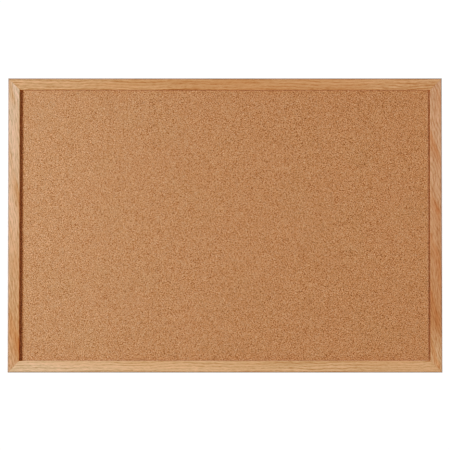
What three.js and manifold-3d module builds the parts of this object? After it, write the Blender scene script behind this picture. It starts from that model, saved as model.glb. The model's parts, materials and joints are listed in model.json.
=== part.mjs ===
// Cork bulletin board with a mitred oak frame, hung on a wall by two D-ring hangers.
//
// Millimetres. X runs across the board, Z is up, and Y runs from the front (-Y) to the wall (+Y).
// The origin is the point of the wall plane behind the board's centre.
//
// The cork is glued to a soft fibreboard core with a thin backing sheet. The three lie in a rabbet
// behind the frame's lip, where flat steel points hold them. V-nails close the mitres. Each stile
// carries a D-ring hanger, and two rubber bumpers on the bottom rail keep the board off the wall.

import * as THREE from 'three';
import { mergeVertices } from 'three/addons/utils/BufferGeometryUtils.js';
import Module from 'manifold-3d';

const wasm = await Module();
wasm.setup();

// Driving dimensions.

const BOARD_WIDTH = 900;
const BOARD_HEIGHT = 610;

const FRAME_DEPTH = 19;
const FRAME_FACE = 24;
const LIP_DEPTH = 5;
const LIP_WIDTH = 9;
const OUTER_EDGE_RADIUS = 1.6;
const INNER_EDGE_RADIUS = 1.2;
const REAR_CHAMFER = 0.6;
const MITRE_SETBACK = 0.22; // along each member, at either end: a hairline joint

const WALL_GAP = 5; // the bumpers' height

const PANEL_CLEARANCE = 1; // between the panel's edge and the rabbet's wall, all round
const LAYER_GAP = 0.1; // the glue line between two layers
const CORK_THICKNESS = 1.9; // where the lip presses on it
const CORK_BULGE = 0.3; // how far the cork stands forward where the lip doesn't press on it
const CORK_BULGE_INSET = 1; // from the lip's inner face to the bulge
const CORE_THICKNESS = 8;
const BACKING_THICKNESS = 0.8;

const POINT_LENGTH = 12;
const POINT_WIDTH = 6;
const POINT_TIP = 3;
const POINT_THICKNESS = 0.6;
const POINT_BITE = 6; // how much of its length is in the wood
const POINT_GAP = 0.15; // between a point and the backing sheet
const RAIL_POINT_SPACING = 280;
const STILE_POINT_SPACING = 300;

const NAIL_LEG = 5;
const NAIL_THICKNESS = 0.6;
const NAIL_DEPTH = 10;
const NAIL_RECESS = 0.5;
const NAIL_INSETS = { outer: 3, inner: 8 }; // from the frame's outer faces to the V's apex

const SLOT_CLEARANCE = 0.3; // round every steel piece that is let into the wood

const HANGER_DROP = 90; // from the board's top edge to the D-ring's bar
const STRAP_WIDTH = 8;
const STRAP_LENGTH = 26; // from the D-ring's bar to the strap's rounded end
const STRAP_SHEET = 0.8;
const STRAP_SEAT = 0.1; // between the strap and the stile
const EYE_CLEARANCE = 0.3;
const RING_WIRE_RADIUS = 1;
const RING_HALF_WIDTH = 5.8; // to the middle of the wire
const RING_HEIGHT = 10; // from the bar to the top of the bow, to the middle of the wire
const RING_CORNER_RADIUS = 1.5;
const RING_SEAM = 0.3; // between the wire's two ends, hidden in the strap's eye
const RING_LEAN = 5; // degrees: the ring leans back until it nearly lies on the stile

const SCREW_DROP = 16; // from the D-ring's bar to the screw
const SCREW_HEAD_RADIUS = 3.25;
const SCREW_HEAD_HEIGHT = 2;
const SCREW_RADIUS = 1.5;
const SCREW_ROOT_RADIUS = 1.1;
const SCREW_LENGTH = 12; // under the head
const THREAD_PITCH = 1.3;
const RECESS_SPAN = 3.4;
const RECESS_SLOT = 0.9;
const RECESS_DEPTH = 1.1;

const BUMPER_RADIUS = 5.5;
const BUMPER_FACE_RADIUS = 3.6;
const BUMPER_RIM = 1.4;
const BUMPER_INSET = 32; // from the board's side to the bumper's middle
const BUMPER_SEAT = 0.05; // the bumper's adhesive

const ROUND_SIDES = 32;
const WIRE_STEPS = 56;
const WIRE_SECTION = 5; // half the number of sides of the wire's section
const ARC_SEGMENTS = 2;

// Dimensions that follow from them.

const REAR_WIDTH = FRAME_FACE - LIP_WIDTH;
const REAR_Y = -WALL_GAP;
const FRONT_Y = REAR_Y - FRAME_DEPTH;
const LIP_Y = FRONT_Y + LIP_DEPTH;

const PANEL_WIDTH = BOARD_WIDTH - 2 * (REAR_WIDTH + PANEL_CLEARANCE);
const PANEL_HEIGHT = BOARD_HEIGHT - 2 * (REAR_WIDTH + PANEL_CLEARANCE);
const CORK_Y = LIP_Y + LAYER_GAP;
const CORE_Y = CORK_Y + CORK_THICKNESS + LAYER_GAP;
const BACKING_Y = CORE_Y + CORE_THICKNESS + LAYER_GAP;
const POINT_Y = BACKING_Y + BACKING_THICKNESS + POINT_GAP;

const EYE_RADIUS = RING_WIRE_RADIUS + EYE_CLEARANCE;
const EYE_OUTER_RADIUS = EYE_RADIUS + STRAP_SHEET;
const STRAP_THICKNESS = 2 * STRAP_SHEET;
const STRAP_Y = REAR_Y + STRAP_SEAT;
const RING_Y = STRAP_Y + EYE_OUTER_RADIUS;
const RING_Z = BOARD_HEIGHT / 2 - HANGER_DROP;
const STILE_MIDDLE = BOARD_WIDTH / 2 - REAR_WIDTH / 2;

// Materials, one to a piece, from these finishes.

const FINISHES = {
  oak: { color: 0xc4935f, roughness: 0.5, metalness: 0 },
  cork: { color: 0xb98a5c, roughness: 0.95, metalness: 0 },
  fibreboard: { color: 0x8a6f52, roughness: 0.95, metalness: 0 },
  kraft: { color: 0xa88660, roughness: 0.85, metalness: 0 },
  steel: { color: 0xb9bcc0, roughness: 0.35, metalness: 1 },
  zinc: { color: 0xd2d3d0, roughness: 0.25, metalness: 1 },
  rubber: { color: 0x4a4a48, roughness: 0.8, metalness: 0 },
};

function addPiece(parent, name, finish, geometry) {
  const piece = new THREE.Mesh(geometry, new THREE.MeshStandardMaterial(FINISHES[finish]));
  piece.name = name;
  parent.add(piece);
  return piece;
}

// Solids.

function toSolid(geometry) {
  const bare = geometry.clone();
  bare.deleteAttribute('normal');
  bare.deleteAttribute('uv');
  const merged = mergeVertices(bare);
  return new wasm.Manifold(new wasm.Mesh({
    numProp: 3,
    vertProperties: merged.attributes.position.array,
    triVerts: Uint32Array.from(merged.index.array),
  }));
}

function toGeometry(solid) {
  const mesh = solid.getMesh();
  const geometry = new THREE.BufferGeometry();
  geometry.setAttribute('position', new THREE.BufferAttribute(mesh.vertProperties, 3));
  geometry.setIndex(new THREE.BufferAttribute(mesh.triVerts, 1));
  geometry.computeVertexNormals();
  return geometry;
}

function cutAway(geometry, cutters) {
  const solid = cutters.reduce((rest, cutter) => rest.subtract(toSolid(cutter)), toSolid(geometry));
  return toGeometry(solid);
}

function joined(first, second) {
  return toGeometry(toSolid(first).add(toSolid(second)));
}

// A section drawn in Y and Z, carried along X and centred there.
function alongX(section, length, curveSegments = ARC_SEGMENTS) {
  const geometry = new THREE.ExtrudeGeometry(section, { depth: length, bevelEnabled: false, curveSegments });
  geometry.translate(0, 0, -length / 2);
  const axes = [new THREE.Vector3(0, 1, 0), new THREE.Vector3(0, 0, 1), new THREE.Vector3(1, 0, 0)];
  return geometry.applyMatrix4(new THREE.Matrix4().makeBasis(...axes));
}

// An outline drawn in X and Z, carried along Y from y for its thickness.
function alongY(outline, y, thickness, curveSegments = ARC_SEGMENTS) {
  const options = { depth: thickness, bevelEnabled: false, curveSegments };
  const geometry = new THREE.ExtrudeGeometry(outline, options);
  return geometry.rotateX(Math.PI / 2).translate(0, y + thickness, 0);
}

// A rectangular sheet facing the room, from y for its thickness.
function sheet(width, height, y, thickness) {
  return new THREE.BoxGeometry(width, thickness, height).translate(0, y + thickness / 2, 0);
}

// The frame.

// A member's section: Y is the depth, and Z runs from the inner edge (negative) to the outer face (0).
function memberSection() {
  const front = FRONT_Y;
  const section = new THREE.Shape();
  section.moveTo(front + OUTER_EDGE_RADIUS, 0);
  section.absarc(front + OUTER_EDGE_RADIUS, -OUTER_EDGE_RADIUS, OUTER_EDGE_RADIUS, Math.PI / 2, Math.PI, false);
  section.lineTo(front, -FRAME_FACE + INNER_EDGE_RADIUS);
  section.absarc(
    front + INNER_EDGE_RADIUS,
    -FRAME_FACE + INNER_EDGE_RADIUS,
    INNER_EDGE_RADIUS,
    Math.PI,
    1.5 * Math.PI,
    false,
  );
  section.lineTo(LIP_Y, -FRAME_FACE);
  section.lineTo(LIP_Y, -REAR_WIDTH);
  section.lineTo(REAR_Y, -REAR_WIDTH);
  section.lineTo(REAR_Y, -REAR_CHAMFER);
  section.lineTo(REAR_Y - REAR_CHAMFER, 0);
  return section;
}

// A member as the top rail lies: its length along X, its outer face towards +Z, both ends mitred.
function memberBlank(halfLength, halfAcross) {
  const geometry = alongX(memberSection(), 2 * halfLength);
  const position = geometry.attributes.position;
  for (let i = 0; i < position.count; i += 1) {
    const reach = halfLength + position.getZ(i) - MITRE_SETBACK;
    position.setX(i, Math.sign(position.getX(i)) * reach);
  }
  return geometry.translate(0, 0, halfAcross);
}

// A V-nail's outline, with its apex at the origin and its legs towards -X and -Z.
function nailOutline(grow) {
  const half = NAIL_THICKNESS / 2 + grow;
  const reach = NAIL_LEG + grow;
  const outline = new THREE.Shape();
  outline.moveTo(half, half);
  outline.lineTo(-reach, half);
  outline.lineTo(-reach, -half);
  outline.lineTo(-half, -half);
  outline.lineTo(-half, -reach);
  outline.lineTo(half, -reach);
  return outline;
}

function nail() {
  return alongY(nailOutline(0), REAR_Y - NAIL_RECESS - NAIL_DEPTH, NAIL_DEPTH);
}

// The slots that a member has for the V-nails at its two ends.
function nailSlots(halfLength, halfAcross) {
  const slotDepth = NAIL_DEPTH + NAIL_RECESS + SLOT_CLEARANCE;
  return Object.values(NAIL_INSETS).flatMap((inset) => [1, -1].map((end) => {
    const slot = alongY(nailOutline(SLOT_CLEARANCE), REAR_Y - slotDepth, slotDepth + 1);
    if (end < 0) slot.rotateY(-Math.PI / 2);
    return slot.translate(end * (halfLength - inset), 0, halfAcross - inset);
  }));
}

// A framer's point, lying flat on the panel's back with its tip in the wood towards +Z.
function point(x, halfAcross, grow = 0) {
  const wall = halfAcross - REAR_WIDTH;
  const half = POINT_WIDTH / 2 + grow;
  const tip = wall + POINT_BITE + grow;
  const outline = new THREE.Shape();
  outline.moveTo(x - half, wall + POINT_BITE - POINT_LENGTH);
  outline.lineTo(x + half, wall + POINT_BITE - POINT_LENGTH);
  outline.lineTo(x + half, tip - POINT_TIP);
  outline.lineTo(x, tip);
  outline.lineTo(x - half, tip - POINT_TIP);
  return alongY(outline, POINT_Y - grow, POINT_THICKNESS + 2 * grow);
}

// The hole for a hanger's screw in the rear of a stile, at x along it.
function pilotHole(x, halfAcross) {
  const depth = SCREW_LENGTH + SLOT_CLEARANCE;
  const radius = SCREW_RADIUS + SLOT_CLEARANCE;
  const hole = new THREE.CylinderGeometry(radius, radius, depth + 1, ROUND_SIDES / 2);
  return hole.translate(x, REAR_Y + (1 - depth) / 2, halfAcross - REAR_WIDTH / 2);
}

// One side of the frame, turned about Y from the top rail's place, with the points that it holds.
function frameSide({ name, piece, turn, halfLength, halfAcross, points, screwHoles = [] }) {
  const side = new THREE.Group();
  side.rotation.y = turn;
  const cutters = [
    ...nailSlots(halfLength, halfAcross),
    ...points.map((x) => point(x, halfAcross, SLOT_CLEARANCE)),
    ...screwHoles.map((x) => pilotHole(x, halfAcross)),
  ];
  addPiece(side, piece, 'oak', cutAway(memberBlank(halfLength, halfAcross), cutters));
  points.forEach((x, i) => {
    addPiece(side, `panel_point_${name}_${i + 1}`, 'steel', point(x, halfAcross));
  });
  return side;
}

function frameSides() {
  const rail = { halfLength: BOARD_WIDTH / 2, halfAcross: BOARD_HEIGHT / 2 };
  const stile = { halfLength: BOARD_HEIGHT / 2, halfAcross: BOARD_WIDTH / 2 };
  rail.points = [-RAIL_POINT_SPACING, 0, RAIL_POINT_SPACING];
  stile.points = [-STILE_POINT_SPACING / 2, STILE_POINT_SPACING / 2];
  const screwZ = RING_Z - SCREW_DROP;
  return [
    { ...rail, name: 'top', piece: 'frame_top_rail', turn: 0 },
    { ...stile, name: 'right', piece: 'frame_right_stile', turn: Math.PI / 2, screwHoles: [-screwZ] },
    { ...rail, name: 'bottom', piece: 'frame_bottom_rail', turn: Math.PI },
    { ...stile, name: 'left', piece: 'frame_left_stile', turn: -Math.PI / 2, screwHoles: [screwZ] },
  ].map(frameSide);
}

// The V-nails of one corner; right and up are 1 or -1, and turn takes the V to that corner.
function cornerNails({ name, right, up, turn }) {
  const corner = new THREE.Group();
  for (const [place, inset] of Object.entries(NAIL_INSETS)) {
    const piece = addPiece(corner, `v_nail_${name}_${place}`, 'steel', nail());
    piece.rotation.y = turn;
    piece.position.set(right * (BOARD_WIDTH / 2 - inset), 0, up * (BOARD_HEIGHT / 2 - inset));
  }
  return corner;
}

const CORNERS = [
  { name: 'top_right', right: 1, up: 1, turn: 0 },
  { name: 'bottom_right', right: 1, up: -1, turn: Math.PI / 2 },
  { name: 'bottom_left', right: -1, up: -1, turn: Math.PI },
  { name: 'top_left', right: -1, up: 1, turn: -Math.PI / 2 },
];

// The panel.

function corkSheet() {
  const bulgeWidth = BOARD_WIDTH - 2 * (FRAME_FACE + CORK_BULGE_INSET);
  const bulgeHeight = BOARD_HEIGHT - 2 * (FRAME_FACE + CORK_BULGE_INSET);
  const margin = sheet(PANEL_WIDTH, PANEL_HEIGHT, CORK_Y, CORK_THICKNESS);
  const bulge = sheet(bulgeWidth, bulgeHeight, CORK_Y - CORK_BULGE, CORK_BULGE + CORK_THICKNESS / 2);
  return joined(margin, bulge);
}

function panel() {
  const layers = new THREE.Group();
  addPiece(layers, 'cork_sheet', 'cork', corkSheet());
  addPiece(layers, 'core_board', 'fibreboard', sheet(PANEL_WIDTH, PANEL_HEIGHT, CORE_Y, CORE_THICKNESS));
  addPiece(layers, 'backing_sheet', 'kraft', sheet(PANEL_WIDTH, PANEL_HEIGHT, BACKING_Y, BACKING_THICKNESS));
  return layers;
}

// The hangers. Each is drawn round the D-ring's bar, which lies along X at the origin.

// The strap is one strip of sheet steel, folded round the bar so that its two halves lie together.
function strap() {
  const back = STRAP_Y - RING_Y;
  const front = back + STRAP_THICKNESS;
  const meets = Math.atan2(-Math.sqrt(EYE_OUTER_RADIUS ** 2 - front ** 2), front);
  const section = new THREE.Shape();
  section.moveTo(back, -STRAP_LENGTH);
  section.lineTo(front, -STRAP_LENGTH);
  section.absarc(0, 0, EYE_OUTER_RADIUS, meets, Math.PI, false);
  section.lineTo(back, -STRAP_LENGTH);
  const eye = new THREE.Path();
  eye.absarc(0, 0, EYE_RADIUS, 0, 2 * Math.PI, true);
  section.holes.push(eye);
  const folded = alongX(section, STRAP_WIDTH, 8);

  const half = STRAP_WIDTH / 2;
  const outline = new THREE.Shape();
  outline.moveTo(half + 1, EYE_OUTER_RADIUS + 1);
  outline.lineTo(-half - 1, EYE_OUTER_RADIUS + 1);
  outline.lineTo(-half - 1, -STRAP_LENGTH + half);
  outline.lineTo(-half, -STRAP_LENGTH + half);
  outline.absarc(0, -STRAP_LENGTH + half, half, Math.PI, 2 * Math.PI, false);
  outline.lineTo(half + 1, -STRAP_LENGTH + half);
  const hole = new THREE.Path();
  hole.absarc(0, -SCREW_DROP, SCREW_RADIUS + SLOT_CLEARANCE, 0, 2 * Math.PI, true);
  outline.holes.push(hole);
  const trim = alongY(outline, back - 1, STRAP_THICKNESS + 2 * EYE_OUTER_RADIUS, 8);
  return toGeometry(toSolid(folded).intersect(toSolid(trim)));
}

// The D-ring's wire, from one end in the middle of the bar round the bow to the other.
class RingLine extends THREE.Curve {
  constructor() {
    super();
    const side = RING_HALF_WIDTH;
    const corner = RING_CORNER_RADIUS;
    const bow = RING_HEIGHT - side;
    const line = new THREE.Path();
    line.moveTo(RING_SEAM / 2, 0);
    line.lineTo(side - corner, 0);
    line.absarc(side - corner, corner, corner, -Math.PI / 2, 0, false);
    line.absarc(0, bow, side, 0, Math.PI, false);
    line.absarc(corner - side, corner, corner, Math.PI, 1.5 * Math.PI, false);
    line.lineTo(-RING_SEAM / 2, 0);
    this.line = line;
  }

  getPoint(t, target = new THREE.Vector3()) {
    const { x, y } = this.line.getPoint(t);
    return target.set(x, 0, y);
  }
}

function ring() {
  const section = new THREE.Shape();
  section.absarc(0, 0, RING_WIRE_RADIUS, 0, 2 * Math.PI, false);
  const options = { extrudePath: new RingLine(), steps: WIRE_STEPS, curveSegments: WIRE_SECTION };
  return new THREE.ExtrudeGeometry(section, options);
}

// The screw's axis is Y: its head's underside is at y = 0 and its tip at -SCREW_LENGTH.
function screw() {
  const tip = 2.5;
  const profile = [new THREE.Vector2(0, -SCREW_LENGTH)];
  for (let y = tip - SCREW_LENGTH; y < -2 * THREAD_PITCH; y += THREAD_PITCH) {
    profile.push(new THREE.Vector2(SCREW_ROOT_RADIUS, y));
    profile.push(new THREE.Vector2(SCREW_RADIUS, y + THREAD_PITCH / 2));
  }
  profile.push(new THREE.Vector2(SCREW_ROOT_RADIUS, -THREAD_PITCH));
  profile.push(new THREE.Vector2(SCREW_ROOT_RADIUS, 0));
  profile.push(new THREE.Vector2(SCREW_HEAD_RADIUS, 0));
  const steps = 5;
  for (let i = 0; i <= steps; i += 1) {
    const angle = (i / steps) * (Math.PI / 2);
    const rim = SCREW_HEAD_HEIGHT / 4;
    profile.push(new THREE.Vector2(
      SCREW_HEAD_RADIUS * Math.cos(angle) ** 0.6,
      rim + (SCREW_HEAD_HEIGHT - rim) * Math.sin(angle),
    ));
  }
  profile[profile.length - 1].x = 0;
  const blank = new THREE.LatheGeometry(profile, ROUND_SIDES / 2);
  const slots = [0, Math.PI / 2].map((turn) => new THREE.BoxGeometry(RECESS_SPAN, 2 * RECESS_DEPTH, RECESS_SLOT)
    .rotateY(turn)
    .translate(0, SCREW_HEAD_HEIGHT, 0));
  return cutAway(blank, slots);
}

function hanger(name, right) {
  const place = new THREE.Group();
  place.position.set(right * STILE_MIDDLE, RING_Y, RING_Z);
  addPiece(place, `hanger_strap_${name}`, 'zinc', strap());
  addPiece(place, `hanger_ring_${name}`, 'zinc', ring()).rotation.x = THREE.MathUtils.degToRad(RING_LEAN);
  const headSeat = STRAP_Y + STRAP_THICKNESS + STRAP_SEAT;
  addPiece(place, `hanger_screw_${name}`, 'steel', screw()).position.set(0, headSeat - RING_Y, -SCREW_DROP);
  return place;
}

// The bumpers. The axis is Y, from the adhesive on the rail to the face that meets the wall.

function bumper() {
  const height = WALL_GAP - BUMPER_SEAT;
  const shoulder = new THREE.EllipseCurve(
    BUMPER_FACE_RADIUS,
    BUMPER_RIM,
    BUMPER_RADIUS - BUMPER_FACE_RADIUS,
    height - BUMPER_RIM,
    0,
    Math.PI / 2,
  );
  const profile = [new THREE.Vector2(0, 0), new THREE.Vector2(BUMPER_RADIUS, 0)];
  profile.push(...shoulder.getPoints(6), new THREE.Vector2(0, height));
  return new THREE.LatheGeometry(profile, ROUND_SIDES);
}

function bumpers() {
  const pair = new THREE.Group();
  for (const [name, right] of [['left', -1], ['right', 1]]) {
    const piece = addPiece(pair, `bumper_${name}`, 'rubber', bumper());
    const x = right * (BOARD_WIDTH / 2 - BUMPER_INSET);
    piece.position.set(x, REAR_Y + BUMPER_SEAT, (REAR_WIDTH - BOARD_HEIGHT) / 2);
  }
  return pair;
}

const board = new THREE.Group();
board.add(...frameSides());
board.add(...CORNERS.map(cornerNails));
board.add(panel());
board.add(hanger('left', -1), hanger('right', 1));
board.add(bumpers());

export default board;
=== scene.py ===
"""Cork bulletin board in a mitred oak frame, seen square-on.

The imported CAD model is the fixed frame, in metres, with X across the board, Z up and Y from the front to
the wall. The members, the cork, the backing, the hangers and the bumpers are built here in their CAD nodes'
places. The core board, the V-nails and the framer's points keep their CAD shape and only get a material.
"""

import json
import math

import bmesh
import bpy
import numpy as np
from mathutils import Matrix, Vector


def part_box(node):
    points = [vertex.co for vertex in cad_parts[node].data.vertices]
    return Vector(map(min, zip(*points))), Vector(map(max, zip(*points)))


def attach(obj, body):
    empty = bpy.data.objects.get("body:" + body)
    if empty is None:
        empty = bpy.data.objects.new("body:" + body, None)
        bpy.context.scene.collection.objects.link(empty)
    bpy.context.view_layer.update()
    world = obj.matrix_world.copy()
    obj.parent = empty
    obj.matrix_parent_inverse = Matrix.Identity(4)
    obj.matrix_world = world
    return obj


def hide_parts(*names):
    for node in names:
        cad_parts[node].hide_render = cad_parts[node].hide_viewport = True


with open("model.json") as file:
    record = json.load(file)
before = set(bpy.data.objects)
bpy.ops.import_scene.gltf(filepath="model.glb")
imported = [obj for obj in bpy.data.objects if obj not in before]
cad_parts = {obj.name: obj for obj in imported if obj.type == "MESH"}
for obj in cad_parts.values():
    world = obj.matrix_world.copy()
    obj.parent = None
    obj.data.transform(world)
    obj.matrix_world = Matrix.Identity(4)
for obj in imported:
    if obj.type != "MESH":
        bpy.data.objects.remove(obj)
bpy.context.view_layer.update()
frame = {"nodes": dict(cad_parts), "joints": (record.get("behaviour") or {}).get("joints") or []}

MM = 0.001

# Places and sizes, taken from the frame.
TOP_LOW, TOP_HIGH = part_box("frame_top_rail")
HALF_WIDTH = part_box("frame_right_stile")[1].x
HALF_HEIGHT = TOP_HIGH.z
FACE = TOP_HIGH.z - TOP_LOW.z
FRONT = TOP_LOW.y
REAR = TOP_HIGH.y
PANEL_LOW, PANEL_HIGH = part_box("cork_sheet")

# Sizes that the frame's boxes don't give.
LIP_DEPTH = 5 * MM
LIP_WIDTH = 9 * MM
OUTER_EDGE_RADIUS = 1.6 * MM
INNER_EDGE_RADIUS = 0.9 * MM
REAR_EDGE_RADIUS = 0.6 * MM
MITRE_SETBACK = 0.12 * MM
SLOT_CLEARANCE = 0.3 * MM
NAIL_THICKNESS = 0.6 * MM
PILOT_RADIUS = 1.7 * MM

CORK_DIP = 0.3 * MM
CORK_DIP_WIDTH = 3.2 * MM
CORK_GRAIN = 0.035 * MM
CORK_SWELL = 0.02 * MM
# Width of the painted shadow colour on the cork along the lip.
PAINTED_SHADOW_WIDTH = 8 * MM
BACKING_BOW = 0.25 * MM

WIRE_RADIUS = 1.0 * MM
WIRE_SEAM = 0.3 * MM
WIRE_CORNER = 1.5 * MM
STRAP_SHEET = 0.8 * MM
STRAP_SEAM = 0.05 * MM
STRAP_BEND = 0.6 * MM
STRAP_EDGE = 0.12 * MM

SCREW_HOLE_RADIUS = 1.8 * MM
SCREW_TIP = 2.4 * MM
SCREW_ROOT = 1.1 * MM
SCREW_CREST = 1.5 * MM
SCREW_PITCH = 1.3 * MM
SCREW_HEAD = 2.0 * MM
SCREW_RIM = 0.5 * MM
RECESS_LENGTH = 3.5 * MM
RECESS_WIDTH = 0.84 * MM
RECESS_DEPTH = 1.1 * MM
RECESS_TAPER = 0.55
RECESS_TURNS = (24, 114)

BUMPER_FACE = 3.4 * MM
BUMPER_RIM = 1.2 * MM
BUMPER_CHAMFER = (0.25 * MM, 0.2 * MM)

MEMBERS = {
    "frame_top_rail": 0,
    "frame_right_stile": 1,
    "frame_bottom_rail": 2,
    "frame_left_stile": 3,
}
CORNERS = {"top_left": (-1, 1), "top_right": (1, 1), "bottom_left": (-1, -1), "bottom_right": (1, -1)}


# ---------------------------------------------------------------- meshes

def new_object(name, mesh):
    piece = bpy.data.objects.new(name, mesh)
    bpy.context.scene.collection.objects.link(piece)
    return piece


def mesh_from(name, vertices, faces):
    mesh = bpy.data.meshes.new(name)
    mesh.from_pydata([tuple(v) for v in vertices], [], faces)
    mesh.update()
    return mesh


def facing_out(mesh):
    """Turns every face of a closed mesh outward."""
    work = bmesh.new()
    work.from_mesh(mesh)
    bmesh.ops.recalc_face_normals(work, faces=work.faces)
    work.to_mesh(mesh)
    work.free()


def smooth(piece, angle=32):
    """Smooth shading, with edges sharper than the angle, in degrees, kept crisp."""
    piece.data.shade_smooth()
    piece.data.set_sharp_from_angle(angle=math.radians(angle))


def apply_modifiers(piece):
    evaluated = piece.evaluated_get(bpy.context.evaluated_depsgraph_get())
    mesh = bpy.data.meshes.new_from_object(evaluated)
    piece.modifiers.clear()
    piece.data = mesh


def cut(piece, *cutters, operation="DIFFERENCE"):
    for cutter in cutters:
        boolean = piece.modifiers.new("cut", "BOOLEAN")
        boolean.object = cutter
        boolean.operation = operation
        boolean.solver = "EXACT"
        bpy.context.view_layer.update()
        apply_modifiers(piece)
        bpy.data.objects.remove(cutter)


def bevelled(piece, width, segments=2, angle=35):
    bevel = piece.modifiers.new("edges", "BEVEL")
    bevel.width = width
    bevel.segments = segments
    bevel.limit_method = "ANGLE"
    bevel.angle_limit = math.radians(angle)
    bevel.use_clamp_overlap = True
    bpy.context.view_layer.update()
    apply_modifiers(piece)


def prism(name, outline, direction, start, end):
    """A closed prism: the outline's points, pairs across the direction's axis, carried from start to end."""
    count = len(outline)
    place = {
        "x": lambda a, b, at: (at, a, b),
        "y": lambda a, b, at: (a, at, b),
        "z": lambda a, b, at: (a, b, at),
    }[direction]
    vertices = [place(a, b, at) for at in (start, end) for a, b in outline]
    faces = [list(range(count)), list(range(count, 2 * count))]
    faces += [[i, (i + 1) % count, (i + 1) % count + count, i + count] for i in range(count)]
    mesh = mesh_from(name, vertices, faces)
    facing_out(mesh)
    return new_object(name, mesh)


def arc(centre, radius, start, end, steps):
    """Points of a circle's arc, from one angle to another, in degrees."""
    angles = np.radians(np.linspace(start, end, steps + 1))
    return [(centre[0] + radius * math.cos(a), centre[1] + radius * math.sin(a)) for a in angles]


def circle(centre, radius, sides=30):
    """Points round a whole circle, without its first point again."""
    return arc(centre, radius, 0, 360 - 360 / sides, sides - 1)


def lathed(name, profile, centre, sides=64):
    """Turns a profile of (radius, height) points about the Y axis through the centre."""
    vertices = []
    rings = []
    for radius, height in profile:
        if radius < 1e-7:
            rings.append([len(vertices)])
            vertices.append(centre + Vector((0, height, 0)))
            continue
        rings.append(list(range(len(vertices), len(vertices) + sides)))
        for i in range(sides):
            turn = 2 * math.pi * i / sides
            vertices.append(centre + Vector((radius * math.cos(turn), height, radius * math.sin(turn))))
    faces = []
    for low, high in zip(rings, rings[1:]):
        for i in range(sides):
            j = (i + 1) % sides
            corners = [low[i % len(low)], low[j % len(low)], high[j % len(high)], high[i % len(high)]]
            face = list(dict.fromkeys(corners))
            if len(face) > 2:
                faces.append(face)
    mesh = mesh_from(name, vertices, faces)
    facing_out(mesh)
    return new_object(name, mesh)


def repaint(piece, material):
    """Gives a piece this material and no other."""
    piece.data.materials.clear()
    piece.data.materials.append(material)


def dress(piece, body, node, material):
    """Gives a piece its material and slot, and lets it ride in its CAD node's place."""
    repaint(piece, material)
    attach(piece, body)
    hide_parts(node)


# ---------------------------------------------------------------- node trees

class Shader:
    """A material under construction. node() adds a node, sets or links its inputs, and returns it."""

    def __init__(self, name):
        self.material = bpy.data.materials.new(name)
        self.material.use_nodes = True
        self.tree = self.material.node_tree
        self.surface = self.tree.nodes["Principled BSDF"]

    def node(self, kind, inputs=None, **settings):
        made = self.tree.nodes.new("ShaderNode" + kind)
        for key, value in settings.items():
            setattr(made, key, value)
        for key, value in (inputs or {}).items():
            self.put(made.inputs[key], value)
        return made

    def put(self, socket, value):
        if isinstance(value, bpy.types.NodeSocket):
            self.tree.links.new(value, socket)
        else:
            socket.default_value = value

    def set(self, **inputs):
        for key, value in inputs.items():
            self.put(self.surface.inputs[key.replace("_", " ")], value)

    def position(self):
        return self.node("TexCoord").outputs["Object"]

    def maths(self, operation, a, b=0.0, clamp=False):
        made = self.node("Math", operation=operation, use_clamp=clamp)
        self.put(made.inputs[0], a)
        self.put(made.inputs[1], b)
        return made.outputs[0]

    def scaled(self, vector, scale, offset=(0, 0, 0)):
        made = self.node("Mapping", {"Vector": vector, "Scale": scale, "Location": offset})
        return made.outputs["Vector"]

    def noise(self, vector, scale=1.0, detail=2.0, roughness=0.5, distortion=0.0, colour=False):
        inputs = {"Vector": vector, "Scale": scale, "Detail": detail, "Roughness": roughness}
        inputs["Distortion"] = distortion
        return self.node("TexNoise", inputs).outputs["Color" if colour else "Fac"]

    def ramp(self, factor, stops, interpolation="LINEAR"):
        """A colour ramp. Each stop is a place and a colour or a grey."""
        made = self.node("ValToRGB", {"Fac": factor})
        ramp = made.color_ramp
        ramp.interpolation = interpolation
        while len(ramp.elements) < len(stops):
            ramp.elements.new(0.5)
        for element, (place, colour) in zip(ramp.elements, stops):
            element.position = place
            element.color = (colour,) * 3 + (1,) if isinstance(colour, (int, float)) else colour
        return made.outputs["Color"]

    def mix(self, factor, a, b, blend="MIX"):
        made = self.node("Mix", data_type="RGBA", blend_type=blend, clamp_factor=True)
        self.put(made.inputs[0], factor)
        self.put(made.inputs[6], a)
        self.put(made.inputs[7], b)
        return made.outputs[2]

    def bump(self, height, distance, strength=1.0, normal=None):
        inputs = {"Height": height, "Distance": distance, "Strength": strength}
        if normal is not None:
            inputs["Normal"] = normal
        return self.node("Bump", inputs).outputs["Normal"]


def srgb(red, green, blue):
    """A colour given as it looks on a screen, 0 to 255, as the linear values that a shader takes."""
    linear = [c / 255 / 12.92 if c <= 10 else ((c / 255 + 0.055) / 1.055) ** 2.4 for c in (red, green, blue)]
    return (*linear, 1)


# ---------------------------------------------------------------- materials

def painted_shadow_edge(s, place, colour):
    """Painted shadow: the cork greyer and plainer along the lip, widest beside the stiles, where the shadow
    is widest.
    """
    narrower_at_rails = 2.6
    greyer = (0.95, 1.11, 1.30, 1)
    split = s.node("SeparateXYZ", {"Vector": place})
    from_side = s.maths("SUBTRACT", HALF_WIDTH - FACE, s.maths("ABSOLUTE", split.outputs[0]))
    from_end = s.maths("SUBTRACT", HALF_HEIGHT - FACE, s.maths("ABSOLUTE", split.outputs[2]))
    from_lip = s.maths("MINIMUM", from_side, s.maths("MULTIPLY", from_end, narrower_at_rails))
    # The painted shadow is full at the lip and fades out across the band.
    painted_shadow_mask = s.node("MapRange", {"Value": from_lip, "From Max": PAINTED_SHADOW_WIDTH, "To Min": 1.0})
    painted_shadow_mask.inputs["To Max"].default_value = 0.0
    # The painted shadow colour: the cork tinted greyer and half blended into one flat brown.
    dust_and_painted_shadow = s.mix(0.5, s.mix(1.0, colour, greyer, "MULTIPLY"), srgb(159, 120, 98))
    return s.mix(painted_shadow_mask.outputs[0], colour, dust_and_painted_shadow)


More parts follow.
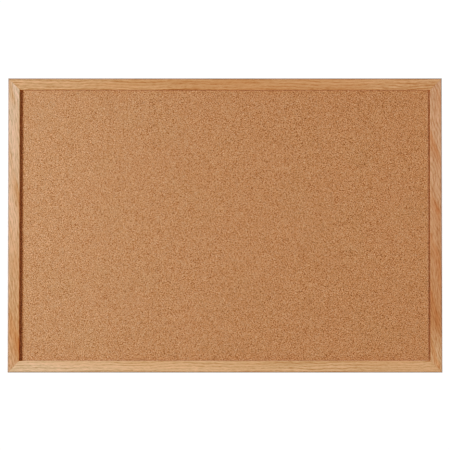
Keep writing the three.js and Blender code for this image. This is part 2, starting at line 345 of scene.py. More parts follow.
def cork_material():
    """Fine agglomerated cork: pressed granules with dark bark specks and pale flecks."""
    s = Shader("cork")
    place = s.position()
    jitter = s.node("VectorMath", operation="MULTIPLY_ADD")
    s.put(jitter.inputs[0], s.noise(place, scale=1100, detail=2, colour=True))
    s.put(jitter.inputs[1], (0.6 * MM,) * 3)
    s.put(jitter.inputs[2], place)
    coarse = s.node("TexVoronoi", {"Vector": jitter.outputs[0], "Scale": 880})
    fine = s.node("TexVoronoi", {"Vector": jitter.outputs[0], "Scale": 1800})
    coarse_tone = s.node("SeparateColor", {"Color": coarse.outputs["Color"]}).outputs[0]
    fine_tone = s.node("SeparateColor", {"Color": fine.outputs["Color"]}).outputs[1]
    blotch = s.noise(place, scale=520, detail=0)
    grit = s.noise(place, scale=620, detail=3, roughness=0.6)

    tone = s.maths("MULTIPLY", coarse_tone, 0.34)
    tone = s.maths("ADD", tone, s.maths("MULTIPLY", fine_tone, 0.32))
    tone = s.maths("ADD", tone, s.maths("SUBTRACT", blotch, 0.27))
    colour = s.ramp(tone, [
        (0.16, srgb(73, 57, 42)),
        (0.38, srgb(117, 90, 71)),
        (0.56, srgb(166, 116, 88)),
        (0.75, srgb(198, 135, 102)),
        (0.94, srgb(219, 157, 124)),
    ])

    warm = s.noise(place, scale=9, detail=3, roughness=0.6)
    colour = s.mix(s.ramp(warm, [(0.35, 0.0), (0.70, 0.15)]), colour, srgb(170, 115, 91))
    cool = s.noise(s.scaled(place, (1, 1, 1), (3.1, 0, 1.7)), scale=13, detail=2)
    colour = s.mix(s.ramp(cool, [(0.50, 0.0), (0.80, 0.15)]), colour, srgb(155, 122, 93))

    bark = s.ramp(coarse_tone, [(0.93, 0.0), (0.95, 0.8)])
    colour = s.mix(bark, colour, srgb(57, 48, 36))
    fleck = s.ramp(fine_tone, [(0.92, 0.0), (0.94, 0.6)])
    colour = s.mix(fleck, colour, srgb(204, 168, 143))
    gap = s.ramp(coarse.outputs["Distance"], [(0.35, 0.0), (0.75, 1.0)])
    colour = s.mix(s.maths("MULTIPLY", gap, 0.30), colour, srgb(94, 66, 49))
    # Painted shadow colour on the cork along the frame's lip.
    colour = painted_shadow_edge(s, place, colour)

    height = s.maths("SUBTRACT", grit, s.maths("MULTIPLY", gap, 0.5))
    normal = s.bump(height, 0.4 * MM, 0.6)
    normal = s.bump(fine.outputs["Distance"], 0.15 * MM, 0.35, normal)
    s.set(Base_Color=colour, Roughness=0.93, Normal=normal)
    s.surface.inputs["Specular IOR Level"].default_value = 0.15
    return s.material


def oak_growth(s, log, along, across, depth, phase, sweep, wave):
    """Sockets for the dark growth bands, the finer rings in them, and the bent place that fibres follow."""
    bend = s.noise(s.scaled(log, (7, 22, 22)), detail=2, roughness=0.5)
    bend = s.maths("MULTIPLY", s.maths("SUBTRACT", bend, 0.5), 0.022 * wave)
    ripple = s.noise(s.scaled(log, (30, 60, 60)), detail=2, roughness=0.5)
    ripple = s.maths("MULTIPLY", s.maths("SUBTRACT", ripple, 0.5), 0.006 * wave)
    radius = s.maths("ADD", across, s.maths("MULTIPLY", depth, 0.35))
    radius = s.maths("ADD", radius, s.maths("MULTIPLY", along, sweep))
    radius = s.maths("ADD", radius, s.maths("ADD", bend, ripple))

    band = s.maths("FRACT", s.maths("MULTIPLY", s.maths("ADD", radius, phase), 26))
    band = s.ramp(band, [(0.0, 0.25), (0.08, 0.0), (0.45, 0.05), (0.80, 0.75), (0.92, 1.0), (1.0, 0.25)])
    patchy = s.noise(s.scaled(log, (11, 45, 45), (0, 3, 0)), detail=2)
    band = s.maths("MULTIPLY", band, s.ramp(patchy, [(0.36, 0.15), (0.62, 1.0)]))
    ring = s.maths("FRACT", s.maths("MULTIPLY", radius, 170))

    fibre = s.maths("ADD", across, s.maths("ADD", ripple, s.maths("MULTIPLY", bend, 0.4)))
    fibres = s.node("CombineXYZ", {"X": along, "Y": fibre, "Z": depth}).outputs[0]
    return band, ring, fibres


def oak_shade(s, fibres, streak, ring, offset, figure):
    """Light and dark along the fibres: rings, streaks, broad lanes and short dashes."""
    ring_shade = s.ramp(ring, [(0.0, 0.15), (0.25, 0.75), (0.62, 1.0), (0.86, 0.30), (1.0, 0.15)], "EASE")
    broad = s.noise(s.scaled(fibres, (3.2, 85, 85), offset), detail=2, roughness=0.5)
    dashes = s.noise(s.scaled(fibres, (75, 620, 620), offset), detail=3, roughness=0.7)
    dash_share = 0.72 + 0.46 * figure
    shade = s.maths("ADD", s.maths("MULTIPLY", ring_shade, 0.16), s.maths("MULTIPLY", streak, 0.60))
    shade = s.maths("ADD", shade, s.maths("MULTIPLY", broad, 0.30))
    return s.maths("ADD", shade, s.maths("MULTIPLY", s.maths("SUBTRACT", dashes, 0.5), dash_share))


def oak_pores(s, fibres, ring):
    """The open pores, most of them in each ring's early wood."""
    pores = s.noise(s.scaled(fibres, (170, 2600, 2600)), detail=1, roughness=0.4)
    in_early_wood = s.ramp(ring, [(0.0, 1.0), (0.30, 0.25), (0.80, 0.35), (1.0, 1.0)])
    return s.maths("MULTIPLY", s.ramp(pores, [(0.57, 0.0), (0.63, 1.0)]), in_early_wood)


def greyer_outer_arris(s, colour, across, depth, half_across):
    """The front outer arris: greyer, and fading into the rest of the wood."""
    inside = s.maths("SUBTRACT", half_across, s.maths("ABSOLUTE", across))
    from_arris = s.maths("ADD", inside, s.maths("SUBTRACT", depth, FRONT))
    arris_grey = s.node("MapRange", {"Value": from_arris, "From Min": 1.4 * MM, "From Max": 3.8 * MM})
    arris_grey.inputs["To Min"].default_value = 0.6
    arris_grey.inputs["To Max"].default_value = 0.0
    return s.mix(arris_grey.outputs[0], colour, srgb(110, 96, 82))


def oak_material(name, upright, offset, tones, sweep, figure, wave):
    """Satin-varnished red oak. Its grain runs along X, or along Z in an upright; offset picks the log.

    tones are places along the member, from 0 at its left or lower end to 1, and the wood's colour there.
    sweep is how far the growth bands cross the member for each metre of it, figure is how strongly they
    show, and wave is how much the grain bends.
    """
    s = Shader(name)
    split = s.node("SeparateXYZ", {"Vector": s.position()})
    along, across = (split.outputs[2], split.outputs[0]) if upright else (split.outputs[0], split.outputs[2])
    depth = split.outputs[1]
    half_length, half_across = (HALF_HEIGHT, HALF_WIDTH) if upright else (HALF_WIDTH, HALF_HEIGHT)
    shift = s.node("VectorMath", operation="ADD")
    s.put(shift.inputs[0], s.node("CombineXYZ", {"X": along, "Y": across, "Z": depth}).outputs[0])
    s.put(shift.inputs[1], offset)
    log = shift.outputs[0]

    band, ring, fibres = oak_growth(s, log, along, across, depth, offset[0] * 0.01, sweep, wave)
    streak = s.noise(s.scaled(fibres, (8, 400, 400), offset), detail=4, roughness=0.66)
    shade = oak_shade(s, fibres, streak, ring, offset, figure)

    place = s.node("MapRange", {"Value": along, "From Min": -half_length, "From Max": half_length})
    wood = s.ramp(place.outputs[0], tones)
    dark = s.mix(1.0, wood, (0.62, 0.60, 0.56, 1), "MULTIPLY")
    light = s.mix(1.0, wood, (1.22, 1.20, 1.24, 1), "MULTIPLY")
    colour = s.mix(s.ramp(shade, [(0.36, 0.0), (0.55, 1.0)]), dark, wood)
    colour = s.mix(s.ramp(shade, [(0.55, 0.0), (0.74, 1.0)]), colour, light)

    late = s.mix(1.0, colour, (0.84, 0.66, 0.56, 1), "MULTIPLY")
    colour = s.mix(s.maths("MULTIPLY", band, figure), colour, late)
    pink = s.noise(s.scaled(log, (7, 60, 60), (0.4, 2.0, 0.1)), detail=2)
    rosy = s.mix(1.0, wood, (0.99, 0.87, 0.82, 1), "MULTIPLY")
    colour = s.mix(s.ramp(pink, [(0.46, 0.0), (0.72, 0.4)]), colour, rosy)

    pore = oak_pores(s, fibres, ring)
    colour = s.mix(s.maths("MULTIPLY", pore, 0.62), colour, srgb(96, 59, 35))
    flecks = s.noise(s.scaled(log, (420, 900, 900), (7, 0, 3)), detail=1)
    colour = s.mix(s.ramp(flecks, [(0.62, 0.0), (0.74, 0.3)]), colour, light)
    colour = greyer_outer_arris(s, colour, across, depth, half_across)

    rough = s.ramp(streak, [(0.30, 0.60), (0.75, 0.50)])
    height = s.maths("SUBTRACT", s.maths("MULTIPLY", streak, 0.5), s.maths("MULTIPLY", pore, 0.6))
    s.set(Base_Color=colour, Roughness=rough, Normal=s.bump(height, 0.12 * MM, 0.7))
    s.surface.inputs["Specular IOR Level"].default_value = 0.3
    s.surface.inputs["Coat Weight"].default_value = 0.08
    s.surface.inputs["Coat Roughness"].default_value = 0.4
    return s.material


def backing_material():
    """Kraft-faced board: an even brown ground with short matted fibres, darker specks and a few scuffs."""
    s = Shader("backing")
    place = s.position()
    cloud = s.noise(place, scale=6, detail=3, roughness=0.5)
    matted = s.noise(place, scale=260, detail=5, roughness=0.7, distortion=2.4)
    elsewhere = s.scaled(place, (1, 1, 1), (4, 0, 9))
    threads = s.noise(elsewhere, scale=520, detail=3, roughness=0.6, distortion=4.0)
    mottle = s.noise(s.scaled(place, (1, 1, 1), (0, 0, 6)), scale=48, detail=4, roughness=0.6)
    shade = s.maths("ADD", s.maths("MULTIPLY", cloud, 0.07), s.maths("MULTIPLY", matted, 0.42))
    shade = s.maths("ADD", shade, s.maths("MULTIPLY", mottle, 0.20))
    shade = s.maths("ADD", shade, s.maths("MULTIPLY", threads, 0.32))
    colour = s.ramp(shade, [
        (0.33, srgb(115, 89, 65)),
        (0.50, srgb(142, 112, 85)),
        (0.67, srgb(165, 136, 107)),
    ])
    specks = s.noise(place, scale=640, detail=1)
    colour = s.mix(s.ramp(specks, [(0.71, 0.0), (0.77, 0.4)]), colour, srgb(84, 62, 44))
    scuff = s.noise(s.scaled(place, (9, 9, 70), (2, 0, 5)), detail=3, roughness=0.7)
    colour = s.mix(s.ramp(scuff, [(0.68, 0.0), (0.76, 0.22)]), colour, srgb(176, 154, 128))
    normal = s.bump(s.maths("ADD", matted, threads), 0.12 * MM, 0.6)
    s.set(Base_Color=colour, Roughness=s.ramp(matted, [(0.3, 0.80), (0.7, 0.90)]), Normal=normal)
    return s.material


def fibreboard_material():
    """Soft fibreboard: matted grey-brown fibres."""
    s = Shader("fibreboard")
    place = s.position()
    mat = s.noise(s.scaled(place, (500, 900, 500)), detail=4, roughness=0.7, distortion=0.8)
    colour = s.ramp(mat, [(0.3, srgb(96, 75, 52)), (0.55, srgb(125, 101, 73)), (0.8, srgb(151, 127, 96))])
    s.set(Base_Color=colour, Roughness=0.92, Normal=s.bump(mat, 0.4 * MM, 0.7))
    return s.material


def steel_material(name, base, rough, spangle=0.0, drawn=(1, 1, 1)):
    """Plated or bright steel: fine drawing marks, uneven plating and dull rubbed spots."""
    s = Shader(name)
    place = s.position()
    marks = s.noise(s.scaled(place, tuple(d * 1400 for d in drawn)), detail=3, roughness=0.6)
    cloud = s.noise(place, scale=260, detail=3, roughness=0.6)
    dull = srgb(base[0] * 0.78, base[1] * 0.77, base[2] * 0.74)
    colour = s.mix(s.ramp(cloud, [(0.35, 0.0), (0.75, 0.7)]), srgb(*base), dull)
    if spangle:
        cells = s.node("TexVoronoi", {"Vector": place, "Scale": 500})
        grain = s.node("SeparateColor", {"Color": cells.outputs["Color"]}).outputs[0]
        colour = s.mix(s.maths("MULTIPLY", grain, spangle), colour, srgb(236, 238, 240))
    shade = s.maths("ADD", s.maths("MULTIPLY", cloud, 0.5), s.maths("MULTIPLY", marks, 0.5))
    s.set(Base_Color=colour, Metallic=1.0, Normal=s.bump(marks, 0.04 * MM, 0.5))
    s.set(Roughness=s.ramp(shade, [(0.3, rough * 0.8), (0.7, rough * 1.35)]))
    return s.material


def rubber_material():
    """Grey moulded rubber with a fine matt skin, dusted over."""
    s = Shader("rubber")
    place = s.position()
    skin = s.noise(place, scale=2600, detail=2)
    dust_and_painted_shadow = s.noise(place, scale=420, detail=4, roughness=0.65)
    colour = s.mix(s.ramp(dust_and_painted_shadow, [(0.45, 0.0), (0.80, 0.5)]), srgb(66, 66, 65), srgb(116, 112, 105))
    s.set(Base_Color=colour, Roughness=s.ramp(dust_and_painted_shadow, [(0.3, 0.62), (0.7, 0.85)]))
    s.set(Normal=s.bump(skin, 0.06 * MM, 0.5))
    return s.material


# ---------------------------------------------------------------- the frame's members

def member_outline():
    """A member's section as (y, outward) points; outward is 0 at the outer face and negative inside."""
    lip = FRONT + LIP_DEPTH
    rear_width = FACE - LIP_WIDTH
    outer, inner, rear = OUTER_EDGE_RADIUS, INNER_EDGE_RADIUS, REAR_EDGE_RADIUS
    points = arc((FRONT + outer, -outer), outer, 90, 180, 8)
    points += arc((FRONT + inner, inner - FACE), inner, 180, 270, 7)
    points += [(lip, -FACE), (lip, -rear_width)]
    points += arc((REAR - rear, rear - rear_width), rear, 270, 360, 3)
    points += arc((REAR - rear, -rear), rear, 0, 90, 3)
    return points


def turned(point, quarter):
    """A point of the top rail's frame, turned clockwise by quarters as seen from the front."""
    x, y, z = point
    for _ in range(quarter):
        x, z = z, -x
    return (x, y, z)


def nail_slots(corner):
    """Cutters for the slots of a corner's two V-nails."""
    right, up = CORNERS[corner]
    width = NAIL_THICKNESS + SLOT_CLEARANCE
    cutters = []
    for which in ("outer", "inner"):
        low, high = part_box(f"v_nail_{corner}_{which}")
        x = [low.x - SLOT_CLEARANCE / 2, high.x + SLOT_CLEARANCE / 2][::right]
        z = [low.z - SLOT_CLEARANCE / 2, high.z + SLOT_CLEARANCE / 2][::up]
        outline = [
            (x[1], z[1]), (x[0], z[1]), (x[0], z[1] - up * width),
            (x[1] - right * width, z[1] - up * width), (x[1] - right * width, z[0]), (x[1], z[0]),
        ]
        cutters.append(prism("slot", outline, "y", low.y - SLOT_CLEARANCE, REAR + MM))
    return cutters


def point_slot(node):
    """A cutter for the slot that a framer's point is pushed into."""
    low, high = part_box(node)
    grow = SLOT_CLEARANCE / 2
    outline = [
        (low.x - grow, low.z - grow), (high.x + grow, low.z - grow),
        (high.x + grow, high.z + grow), (low.x - grow, high.z + grow),
    ]
    return prism("slot", outline, "y", low.y - grow, high.y + grow)


def pilot_bore(side):
    """A cutter for the bore of a hanger's screw."""
    low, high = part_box(f"hanger_screw_{side}")
    outline = circle(((low.x + high.x) / 2, (low.z + high.z) / 2), PILOT_RADIUS)
    return prism("pilot", outline, "y", low.y - SLOT_CLEARANCE, REAR + MM)


def member_body(name, quarter):
    """A member's section carried along it between its mitres, in short lengths."""
    half_length = (HALF_WIDTH, HALF_HEIGHT)[quarter % 2]
    half_across = (HALF_HEIGHT, HALF_WIDTH)[quarter % 2]
    outline = member_outline()
    count = len(outline)
    stations = np.linspace(-1, 1, 33)
    vertices = []
    for station in stations:
        for y, outward in outline:
            x = station * (half_length + outward - MITRE_SETBACK)
            vertices.append(turned((x, y, half_across + outward), quarter))
    faces = [list(range(count)), list(range(len(vertices) - count, len(vertices)))]
    for row in range(len(stations) - 1):
        for i in range(count):
            j = (i + 1) % count
            faces.append([row * count + i, row * count + j, (row + 1) * count + j, (row + 1) * count + i])
    mesh = mesh_from(name, vertices, faces)
    facing_out(mesh)
    return new_object(name.replace("frame_", "oak_"), mesh)


def member(name, quarter, material):
    """A member of the frame, slotted for its nails and points, and bored where a hanger is screwed on."""
    piece = member_body(name, quarter)
    side = name.split("_")[1]
    cutters = [slot for corner in CORNERS if side in corner for slot in nail_slots(corner)]
    cutters += [point_slot(node) for node in frame["nodes"] if node.startswith(f"panel_point_{side}_")]
    if side in ("left", "right"):
        cutters.append(pilot_bore(side))
    cut(piece, *cutters)
    smooth(piece)
    dress(piece, "board", name, material)


# ---------------------------------------------------------------- the panel

def sheet(name, xs, zs, face_y, flat_y):
    """A closed sheet: a face with relief over a grid, a flat face, and sides that join them round the rim."""
    grid_x, grid_z = np.meshgrid(xs, zs, indexing="ij")
    face = np.stack([grid_x, face_y, grid_z], axis=-1).reshape(-1, 3)
    nx, nz = len(xs), len(zs)
    at = np.arange(nx * nz).reshape(nx, nz)
    quads = np.stack([at[:-1, :-1], at[1:, :-1], at[1:, 1:], at[:-1, 1:]], axis=-1).reshape(-1, 4)
    rim = [(i, 0) for i in range(nx)] + [(nx - 1, k) for k in range(1, nz)]
    rim += [(i, nz - 1) for i in range(nx - 2, -1, -1)] + [(0, k) for k in range(nz - 2, 0, -1)]
    flat = np.array([(xs[i], flat_y, zs[k]) for i, k in rim])
    base, count = nx * nz, len(rim)
    sides = []
    for i in range(count):
        j = (i + 1) % count
        sides.append([int(at[rim[i]]), base + i, base + j, int(at[rim[j]])])
    faces = quads.tolist() + sides + [list(range(base, base + count))]
    mesh = mesh_from(name, np.vstack([face, flat]), faces)
    facing_out(mesh)
    piece = new_object(name, mesh)
    smooth(piece, 40)
    return piece


def spaced(half, lip_inner, count):
    """Places across the cork: close together beside the lip, and even between."""
    beside = [lip_inner + 4 * MM, lip_inner + 0.4 * MM]
    beside += [lip_inner - step * MM for step in (0.2, 0.8, 1.4, 2.1, 3.2)]
    middle = np.linspace(-beside[-1], beside[-1], count)[1:-1]
    outer = np.array([half, *beside])
    return np.concatenate([-outer, middle, outer[::-1]])


def soft_patches(random, shape, spacing):
    """Soft random patches over a grid, from 0 to 1, about as wide as spacing steps of the grid."""
    broad = random.normal(0, 1, (shape[0] // spacing + 2, shape[1] // spacing + 2))
    rows = np.linspace(0, broad.shape[0] - 1.001, shape[0])
    columns = np.linspace(0, broad.shape[1] - 1.001, shape[1])
    r, c = rows.astype(int), columns.astype(int)
    fr, fc = (rows - r)[:, None], (columns - c)[None, :]
    patch = (
        broad[np.ix_(r, c)] * (1 - fr) * (1 - fc)
        + broad[np.ix_(r + 1, c)] * fr * (1 - fc)
        + broad[np.ix_(r, c + 1)] * (1 - fr) * fc
        + broad[np.ix_(r + 1, c + 1)] * fr * fc
    )
    return (patch - patch.min()) / np.ptp(patch)


def cork_surface(xs, zs, lip_x, lip_z):
    """How far the cork stands behind its foremost plane: a soft dip at the lip, and granular relief."""
    grid_x, grid_z = np.meshgrid(xs, zs, indexing="ij")
    inside = np.minimum(lip_x - np.abs(grid_x), lip_z - np.abs(grid_z))
    t = np.clip(1 - inside / CORK_DIP_WIDTH, 0, 1)
    dip = CORK_DIP * t * t * (3 - 2 * t)
    random = np.random.RandomState(7)
    grain = np.abs(random.normal(0, CORK_GRAIN, grid_x.shape))
    swell = CORK_SWELL * soft_patches(random, grid_x.shape, spacing=9)
    open_cork = np.clip(inside / CORK_DIP_WIDTH, 0, 1)
    return dip + (grain + swell) * open_cork


def cork_sheet(material):
    """The cork face, pressed down a little where it runs under the frame's lip."""
    lip_x, lip_z = HALF_WIDTH - FACE, HALF_HEIGHT - FACE
    xs = spaced(PANEL_HIGH.x, lip_x, 360)
    zs = spaced(PANEL_HIGH.z, lip_z, 238)
    front_y = PANEL_LOW.y + cork_surface(xs, zs, lip_x, lip_z)
    piece = sheet("cork_face", xs, zs, front_y, PANEL_HIGH.y)
    dress(piece, "board", "cork_sheet", material)


def backing(material):
    """The backing sheet, whose rear face sinks a little, and unevenly, between its edges."""
    low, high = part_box("backing_sheet")
    xs = np.linspace(low.x, high.x, 93)
    zs = np.linspace(low.z, high.z, 63)
    grid_x, grid_z = np.meshgrid(xs, zs, indexing="ij")
    free = (1 - (grid_x / high.x) ** 4) * (1 - (grid_z / high.z) ** 4)
    wave = 0.5 + 0.5 * np.cos(grid_x * 7.1 + 1.3) * np.cos(grid_z * 9.3 + 0.4)
    piece = sheet("backing_board", xs, zs, high.y - BACKING_BOW * free * wave, low.y)
    dress(piece, "board", "backing_sheet", material)


# ---------------------------------------------------------------- the hardware

def small_steel(material):
    """Gives the V-nails and framer's points, which keep their CAD shape, their steel."""
    for node, piece in frame["nodes"].items():
        if node.startswith(("v_nail_", "panel_point_")):
            repaint(piece, material)
            bevel = piece.modifiers.new("edges", "BEVEL")
            bevel.width = 0.06 * MM
            bevel.segments = 2
            bevel.limit_method = "ANGLE"


def hanger(side, plated, screw_steel):
    """A D-ring hanger: its strap and its screw on the board, and its ring on a body of its own."""
    joint = next(j for j in frame["joints"] if j["child"] == f"ring_{side}")
    pivot = Vector(joint["pos_m"])
    strap_piece(side, pivot, plated)
    ring_piece(side, pivot, plated)
    screw_piece(side, screw_steel)


def strap_outline(back, foot, pivot):
    """The folded strip's edge, as (y, z) points: up the stile, round the ring's bar, and down over itself."""
    middle = back + STRAP_SHEET
    front = middle + STRAP_SHEET
    eye = pivot.y - middle
    outer = eye + STRAP_SHEET
    bend_y = front + STRAP_BEND
    drop = math.sqrt((outer + STRAP_BEND) ** 2 - (bend_y - pivot.y) ** 2)
    bend = (bend_y, pivot.z - drop)
    leaves = math.degrees(math.atan2(-drop, bend_y - pivot.y))
    loop = (pivot.y, pivot.z)

    outline = [(back, foot), (middle, foot)]
    outline += arc(loop, eye, 180, leaves, 40)
    outline += arc(bend, STRAP_BEND + STRAP_SHEET - STRAP_SEAM, leaves + 180, 180, 8)
    outline += [(middle + STRAP_SEAM, foot), (front, foot)]
    outline += arc(bend, STRAP_BEND, 180, leaves + 180, 8)
    return outline + arc(loop, outer, leaves, 180, 40)


def strap_piece(side, pivot, material):
    """The folded strap, with a round foot and a hole for its screw."""
    low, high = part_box(f"hanger_strap_{side}")
    half = (high.x - low.x) / 2
    front = low.y + 2 * STRAP_SHEET
    outline = strap_outline(low.y, low.z, pivot)
    piece = prism(f"d_ring_strap_{side}", outline, "x", pivot.x - half, pivot.x + half)

    rounding = (pivot.x, low.z + half)
    left, right, top = pivot.x - half - MM, pivot.x + half + MM, high.z + MM
    trim = [(right, rounding[1]), (right, top), (left, top), (left, rounding[1])]
    trim += arc(rounding, half, 180, 360, 28)
    cut(piece, prism("trim", trim, "y", low.y - MM, high.y + MM), operation="INTERSECT")
    screw_low, screw_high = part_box(f"hanger_screw_{side}")
    hole = circle((pivot.x, (screw_low.z + screw_high.z) / 2), SCREW_HOLE_RADIUS)
    cut(piece, prism("hole", hole, "y", low.y - MM, front + MM))
    bevelled(piece, STRAP_EDGE, 2, 40)
    smooth(piece, 40)
    dress(piece, "board", f"hanger_strap_{side}", material)


def ring_line(half, height):
    """The wire's line, in the ring's own plane: from the seam in the bar, round, and back to it."""
    side = [(WIRE_SEAM / 2, 0.0), (half * 0.25, 0.0), (half * 0.5, 0.0)]
    side += arc((half - WIRE_CORNER, WIRE_CORNER), WIRE_CORNER, -90, 0, 10)
    side += [(half, WIRE_CORNER + (height - half - WIRE_CORNER) * share) for share in (0.33, 0.67)]
    return side + arc((0, height - half), half, 0, 180, 48) + [(-x, z) for x, z in reversed(side)]


def tube(name, points, across, radius, sides=24):
    """A closed round tube along points that all lie in the plane square to across."""
    points = np.array(points)
    steps = np.diff(points, axis=0)
    steps /= np.linalg.norm(steps, axis=1)[:, None]
    tangents = np.vstack([steps[:1], steps[:-1] + steps[1:], steps[-1:]])
    tangents /= np.linalg.norm(tangents, axis=1)[:, None]
    vertices = []
    for point, tangent in zip(points, tangents):
        outward = np.cross(tangent, across)
        for i in range(sides):
            turn = 2 * math.pi * i / sides
            vertices.append(point + (outward * math.cos(turn) + across * math.sin(turn)) * radius)
    last = (len(points) - 1) * sides
    faces = [list(range(sides)), list(range(last, last + sides))]
    for row in range(0, last, sides):
        for i in range(sides):
            j = (i + 1) % sides
            faces.append([row + i, row + j, row + sides + j, row + sides + i])
    mesh = mesh_from(name, vertices, faces)
    facing_out(mesh)
    return new_object(name, mesh)


def ring_piece(side, pivot, material):
    """The D-ring: one bent wire whose ends meet in the middle of the bar, leaning back to the stile."""
    low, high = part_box(f"hanger_ring_{side}")
    half = (high.x - low.x) / 2 - WIRE_RADIUS
    rise = high.z - pivot.z - WIRE_RADIUS
    lean = math.atan2(pivot.y - low.y - WIRE_RADIUS, rise)
    tilt = Matrix.Rotation(lean, 3, "X")
    line = [pivot + tilt @ Vector((x, 0, z)) for x, z in ring_line(half, rise / math.cos(lean))]
    across = np.array(tilt @ Vector((0, 1, 0)))
    piece = tube(f"d_ring_{side}", line, across, WIRE_RADIUS)
    smooth(piece, 50)
    dress(piece, f"ring_{side}", f"hanger_ring_{side}", material)


def screw_profile(tip_y, top_y, radius):
    """The screw's half section, as (radius, y) points: point, thread, seat and domed pan head."""
    seat = top_y - SCREW_HEAD
    y = tip_y + SCREW_TIP
    profile = [(0, tip_y), (SCREW_ROOT, y)]
    while y < seat - 2 * SCREW_PITCH:
        profile += [(SCREW_CREST, y + SCREW_PITCH / 2), (SCREW_ROOT, y + SCREW_PITCH)]
        y += SCREW_PITCH
    edge = 0.15 * MM
    profile += [(SCREW_ROOT, seat), (radius - edge, seat), (radius, seat + edge)]
    steps = 10
    for step in range(steps):
        turn = math.pi / 2 * step / steps
        dome_y = seat + SCREW_RIM + (SCREW_HEAD - SCREW_RIM) * math.sin(turn)
        profile.append((radius * math.cos(turn) ** 0.6, dome_y))
    return profile + [(0, top_y)]


def recess_arm(centre, top_y, degrees):
    """A cutter for one arm of the screw's cross recess, shorter at its foot."""
    length, width = RECESS_LENGTH / 2, RECESS_WIDTH / 2
    outline = [(-length, -width), (length, -width), (length, width), (-length, width)]
    arm = prism("slot", outline, "y", top_y - RECESS_DEPTH, top_y + MM)
    turn = Matrix.Rotation(math.radians(degrees), 3, "Y")
    for vertex in arm.data.vertices:
        share = RECESS_TAPER if vertex.co.y < top_y else 1
        vertex.co = turn @ Vector((vertex.co.x * share, vertex.co.y, vertex.co.z)) + centre
    return arm


def screw_piece(side, material):
    """A pan-head screw with a cross recess, seated on the strap."""
    low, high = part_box(f"hanger_screw_{side}")
    centre = Vector(((low.x + high.x) / 2, 0, (low.z + high.z) / 2))
    profile = screw_profile(low.y, high.y, (high.x - low.x) / 2)
    piece = lathed(f"d_ring_screw_{side}", profile, centre, 48)
    for degrees in RECESS_TURNS:
        cut(piece, recess_arm(centre, high.y, degrees))
    smooth(piece, 35)
    dress(piece, "board", f"hanger_screw_{side}", material)


def bumper(side, material):
    """A domed rubber bumper with a flat face and a soft shoulder."""
    low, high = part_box(f"bumper_{side}")
    centre = Vector(((low.x + high.x) / 2, 0, (low.z + high.z) / 2))
    radius = (high.x - low.x) / 2
    inward, upward = BUMPER_CHAMFER
    shoulder = low.y + BUMPER_RIM
    profile = [(0, low.y), (radius - inward, low.y), (radius, low.y + upward), (radius, shoulder)]
    steps = 14
    for step in range(1, steps + 1):
        turn = math.pi / 2 * step / steps
        round_radius = BUMPER_FACE + (radius - BUMPER_FACE) * math.cos(turn)
        profile.append((round_radius, shoulder + (high.y - shoulder) * math.sin(turn)))
    profile += [(BUMPER_FACE * 0.92, high.y), (0, high.y)]
    piece = lathed(f"rubber_bumper_{side}", profile, centre, 64)
    smooth(piece, 45)
    dress(piece, "board", f"bumper_{side}", material)


# ---------------------------------------------------------------- the studio

def floor():
    """A plain pale floor, well below the hung board. Only the camera sees its glow, so it adds no light."""
    reach = 40.0
    level = -1.5
    back_y = 5.0
    outline = [(-reach, -reach), (reach, -reach), (reach, back_y), (-reach, back_y)]
    corners = [(x, y, level) for x, y in outline]
    piece = new_object("floor", mesh_from("floor", corners, [[0, 1, 2, 3]]))
    s = Shader("floor")
    s.set(Base_Color=(0.36, 0.35, 0.34, 1), Roughness=0.9, Emission_Color=(0.86, 0.82, 0.79, 1))
    s.set(Emission_Strength=s.node("LightPath").outputs["Is Camera Ray"])
    piece.data.materials.append(s.material)


def area_light(name, place, aim, size, power, colour=(1, 1, 1)):
    """A soft box that the camera can't see; size is its width and height."""
    data = bpy.data.lights.new(name, "AREA")
    data.shape = "RECTANGLE"
    data.size, data.size_y = size
    data.energy = power
    data.color = colour
    light = bpy.data.objects.new(name, data)
    bpy.context.scene.collection.objects.link(light)
    light.location = place
    light.rotation_euler = (Vector(aim) - Vector(place)).to_track_quat("-Z", "Y").to_euler()
    light.visible_camera = False


def studio():
    """A key light from the left, a weaker fill from the right, and soft lights behind and above."""
    face = (0, FRONT, 0)
    board = (0, 0, 0)
    area_light("key", (-2.54, -1.38, 0.32), face, size=(0.65, 1.20), power=139, colour=(1.06, 1.0, 0.95))
    area_light("fill", (2.45, -2.05, 0.18), face, size=(0.60, 1.10), power=60, colour=(1.12, 1.0, 0.91))
    area_light("rear_left", (-2.0, 2.3, 0.3), board, size=(2.0, 1.6), power=84)
    area_light("rear_right", (2.1, 2.4, 0.1), board, size=(2.0, 1.6), power=56)
    area_light("overhead", (0, 0.7, 2.6), board, size=(2.0, 2.0), power=50)
    surroundings()


def surroundings():
    """A world that lights the board softly, and that the camera sees as plain white."""
    world = bpy.data.worlds.new("studio")
    bpy.context.scene.world = world
    world.use_nodes = True
    tree = world.node_tree
    tree.nodes.clear()
    out = tree.nodes.new("ShaderNodeOutputWorld")
    seen = tree.nodes.new("ShaderNodeBackground")
    seen.inputs["Color"].default_value = (1, 1, 1, 1)
    seen.inputs["Strength"].default_value = 1.1
    ambient = tree.nodes.new("ShaderNodeBackground")
    ambient.inputs["Color"].default_value = (0.65, 1, 1.25, 1)
    ambient.inputs["Strength"].default_value = 0.31
    path = tree.nodes.new("ShaderNodeLightPath")
    choose = tree.nodes.new("ShaderNodeMixShader")
    tree.links.new(path.outputs["Is Camera Ray"], choose.inputs[0])
    tree.links.new(ambient.outputs[0], choose.inputs[1])
    tree.links.new(seen.outputs[0], choose.inputs[2])
    tree.links.new(choose.outputs[0], out.inputs["Surface"])


def camera():
    """The photo's view: square-on, from a little below the middle."""
    distance = 2.3
    below = 26 * MM
    aim = Vector((0, FRONT, 0.5 * MM))
    data = bpy.data.cameras.new("camera")
    data.sensor_width = 36
    data.lens = 88.82
    piece = bpy.data.objects.new("camera", data)
    bpy.context.scene.collection.objects.link(piece)
    piece.location = (0, FRONT - distance, -below)
    piece.rotation_euler = (aim - piece.location).to_track_quat("-Z", "Y").to_euler()
    bpy.context.scene.camera = piece


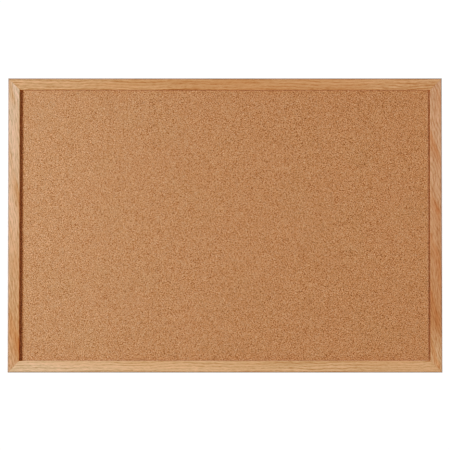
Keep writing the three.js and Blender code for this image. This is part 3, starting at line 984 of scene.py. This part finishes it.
TONE_WHITE = 1.05
TONE_SHOULDER = 0.386
TONE_TOE = 0.664
TONE_POWER = 0.7


def film():
    """A camera's tone curve over the plain display: steep in the shadows and easing into white."""
    view = bpy.context.scene.view_settings
    view.view_transform = "Standard"
    view.use_curve_mapping = True
    mapping = view.curve_mapping
    mapping.white_level = (TONE_WHITE,) * 3
    curve = mapping.curves[3]
    for exposed in (0.03, 0.06, 0.1, 0.15, 0.22, 0.32, 0.46, 0.66):
        shown = math.exp(TONE_SHOULDER - TONE_TOE * exposed ** -TONE_POWER)
        curve.points.new(exposed / TONE_WHITE, shown)
    mapping.update()


# ---------------------------------------------------------------- the scene

camera()

cork_sheet(cork_material())
backing(backing_material())
repaint(frame["nodes"]["core_board"], fibreboard_material())

oak = {
    "frame_top_rail": oak_material(
        "oak_top_rail", False, (0.3, 1.1, 0.2),
        [(0.05, srgb(174, 126, 93)), (0.55, srgb(167, 115, 83)), (0.95, srgb(183, 131, 98))],
        sweep=0.012, figure=0.35, wave=0.7),
    "frame_bottom_rail": oak_material(
        "oak_bottom_rail", False, (5.2, 3.7, 1.9),
        [(0.05, srgb(184, 145, 112)), (0.3, srgb(184, 138, 104)), (0.95, srgb(187, 136, 102))],
        sweep=-0.01, figure=0.3, wave=0.8),
    "frame_left_stile": oak_material(
        "oak_left_stile", True, (3.1, 6.2, 4.1),
        [(0.02, srgb(166, 118, 89)), (0.14, srgb(172, 120, 88)), (0.95, srgb(179, 145, 117))],
        sweep=0.232, figure=1.1, wave=1.0),
    "frame_right_stile": oak_material(
        "oak_right_stile", True, (8.8, 5.1, 6.3),
        [(0.02, srgb(192, 143, 111)), (0.16, srgb(158, 108, 79)), (0.95, srgb(180, 131, 104))],
        sweep=0.34, figure=1.0, wave=1.2),
}
for name, quarter in MEMBERS.items():
    member(name, quarter, oak[name])

small_steel(steel_material("bright_steel", (150, 150, 152), 0.36))
plated = steel_material("plated_steel", (200, 202, 202), 0.26, spangle=0.25)
screw_steel = steel_material("screw_steel", (186, 186, 180), 0.3)
for side in ("left", "right"):
    hanger(side, plated, screw_steel)
rubber = rubber_material()
for side in ("left", "right"):
    bumper(side, rubber)

floor()
studio()
film()
